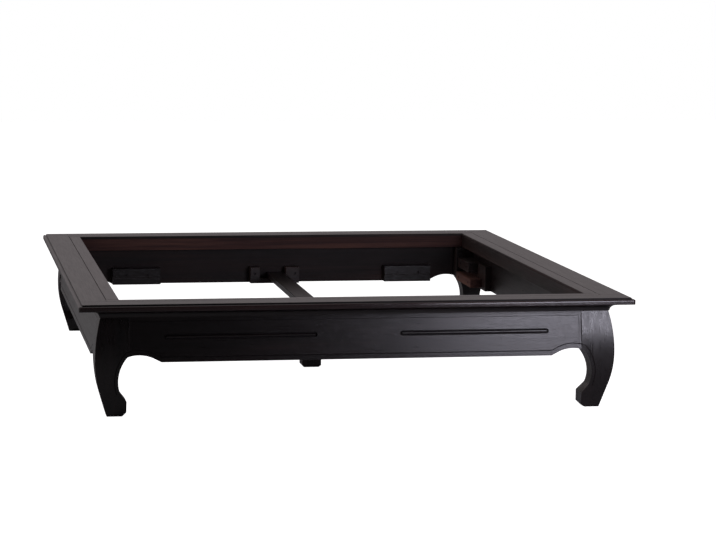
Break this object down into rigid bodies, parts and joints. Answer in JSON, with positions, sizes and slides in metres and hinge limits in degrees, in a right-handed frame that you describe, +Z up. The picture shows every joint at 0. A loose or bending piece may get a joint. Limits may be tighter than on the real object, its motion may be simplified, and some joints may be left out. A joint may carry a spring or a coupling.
{
  "type": "opium bed",
  "caption": "Low platform bed frame in dark wood with curved legs, wavy aprons, a flat rail round a mattress opening and a lift-out centre beam.",
  "frame": {"origin": "on the floor, under the middle of the bed", "axes": "+X to the right seen from the foot end, +Y from the foot end to the head end, +Z up"},
  "size_m": [1.89, 2.29, 0.388],
  "materials": {
    "dark_stained_wood": "dark stained hardwood with a satin lacquer",
    "bare_reddish_wood": "reddish hardwood with a thin uneven stain",
    "dark_steel": "dark oxidised wood screws"
  },
  "bodies": {
    "frame": {"foot_rail_board": "dark_stained_wood", "foot_inner_strip": "dark_stained_wood", "foot_cove_moulding": "dark_stained_wood", "foot_apron": "dark_stained_wood", "foot_batten": "bare_reddish_wood", "head_rail_board": "dark_stained_wood", "head_inner_strip": "dark_stained_wood", "head_cove_moulding": "dark_stained_wood", "head_apron": "dark_stained_wood", "head_batten": "bare_reddish_wood", "left_rail_board": "dark_stained_wood", "left_inner_strip": "dark_stained_wood", "left_cove_moulding": "dark_stained_wood", "left_apron": "dark_stained_wood", "left_batten": "bare_reddish_wood", "right_rail_board": "dark_stained_wood", "right_inner_strip": "dark_stained_wood", "right_cove_moulding": "dark_stained_wood", "right_apron": "dark_stained_wood", "right_batten": "bare_reddish_wood", "foot_apron_beads": "dark_stained_wood", "head_apron_beads": "dark_stained_wood", "foot_left_leg": "dark_stained_wood", "foot_left_end_cleat": "dark_stained_wood", "foot_left_corner_board": "dark_stained_wood", "foot_left_corner_block": "dark_stained_wood", "foot_left_corner_ledge": "bare_reddish_wood", "foot_right_leg": "dark_stained_wood", "foot_right_end_cleat": "dark_stained_wood", "foot_right_corner_board": "dark_stained_wood", "foot_right_corner_block": "dark_stained_wood", "foot_right_corner_ledge": "bare_reddish_wood", "head_left_leg": "dark_stained_wood", "head_left_end_cleat": "dark_stained_wood", "head_left_corner_board": "dark_stained_wood", "head_left_corner_block": "dark_stained_wood", "head_left_corner_ledge": "bare_reddish_wood", "head_right_leg": "dark_stained_wood", "head_right_end_cleat": "dark_stained_wood", "head_right_corner_board": "dark_stained_wood", "head_right_corner_block": "dark_stained_wood", "head_right_corner_ledge": "bare_reddish_wood", "foot_beam_bracket": "dark_stained_wood", "head_beam_bracket": "dark_stained_wood", "end_cleat_screws": "dark_steel", "beam_bracket_screws": "dark_steel", "corner_ledge_screws": "dark_steel", "corner_block_screws": "dark_steel", "rail_dowels": "bare_reddish_wood"},
    "centre_support": {"centre_beam": "dark_stained_wood", "centre_leg": "dark_stained_wood", "centre_leg_screws": "dark_steel"}
  },
  "joints": [
    {"name": "beam_lift", "type": "slide", "parent": "frame", "child": "centre_support", "axis": [0, 0, 1], "range_m": [0, 0.09]}
  ]
}
